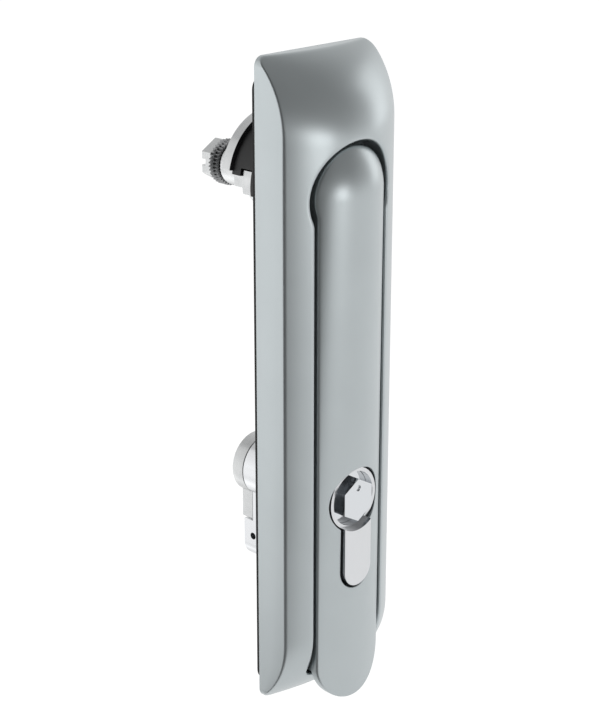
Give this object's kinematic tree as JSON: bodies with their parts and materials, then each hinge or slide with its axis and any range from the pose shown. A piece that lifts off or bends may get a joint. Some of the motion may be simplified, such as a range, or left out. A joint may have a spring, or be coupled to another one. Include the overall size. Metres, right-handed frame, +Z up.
{
  "type": "swing handle latch",
  "caption": "Flush swing handle latch with a lift-up lever, a half profile cylinder with a hexagon post, and a drive shaft behind the door.",
  "frame": {"origin": "middle of the gasket's rear face, on the door's face at the casing's mid-height and mid-width", "axes": "+Z up along the casing, +Y into the door, front towards -Y, +X right seen from the front"},
  "size_m": [0.04, 0.0543, 0.1749],
  "materials": {
    "casing_coat": "satin silver-grey coat on a zinc casting",
    "handle_coat": "satin silver-grey coat on a zinc casting",
    "gasket_rubber": "matte black",
    "bumper_rubber": "matte black",
    "seal_rubber": "satin black",
    "black_plastic": "moulded, fine grain",
    "bush_plastic": "natural acetal",
    "zinc_steel": "zinc plated",
    "dark_steel": "phosphated",
    "lock_chrome": "polished chrome plate",
    "lock_nickel": "nickel plate on brass"
  },
  "bodies": {
    "housing": {"casing": "casing_coat", "gasket": "gasket_rubber", "rotor_shaft": "zinc_steel", "pivot_pin": "zinc_steel", "thrust_washer": "bush_plastic", "shaft_seal": "seal_rubber", "bearing_bush": "bush_plastic", "travel_stop": "black_plastic", "stop_plate": "zinc_steel", "spring_washer": "zinc_steel", "retaining_ring": "dark_steel", "toothed_washer_front": "dark_steel", "toothed_washer_rear": "dark_steel", "shaft_screw": "zinc_steel", "bumper": "bumper_rubber", "cylinder_body": "lock_nickel", "cylinder_screw": "dark_steel"},
    "handle": {"handle": "handle_coat"},
    "plug": {"lock_plug": "lock_chrome", "plug_seal": "seal_rubber", "lock_cam": "zinc_steel", "plug_clip": "dark_steel"}
  },
  "joints": [
    {"name": "handle_lift", "type": "hinge", "parent": "housing", "child": "handle", "pos_m": [0, -0.0103, 0.056], "axis": [-1, 0, 0], "range_deg": [0, 40]},
    {"name": "plug_turn", "type": "hinge", "parent": "housing", "child": "plug", "pos_m": [0, 0, -0.0296], "axis": [0, -1, 0], "range_deg": [0, 90]}
  ]
}
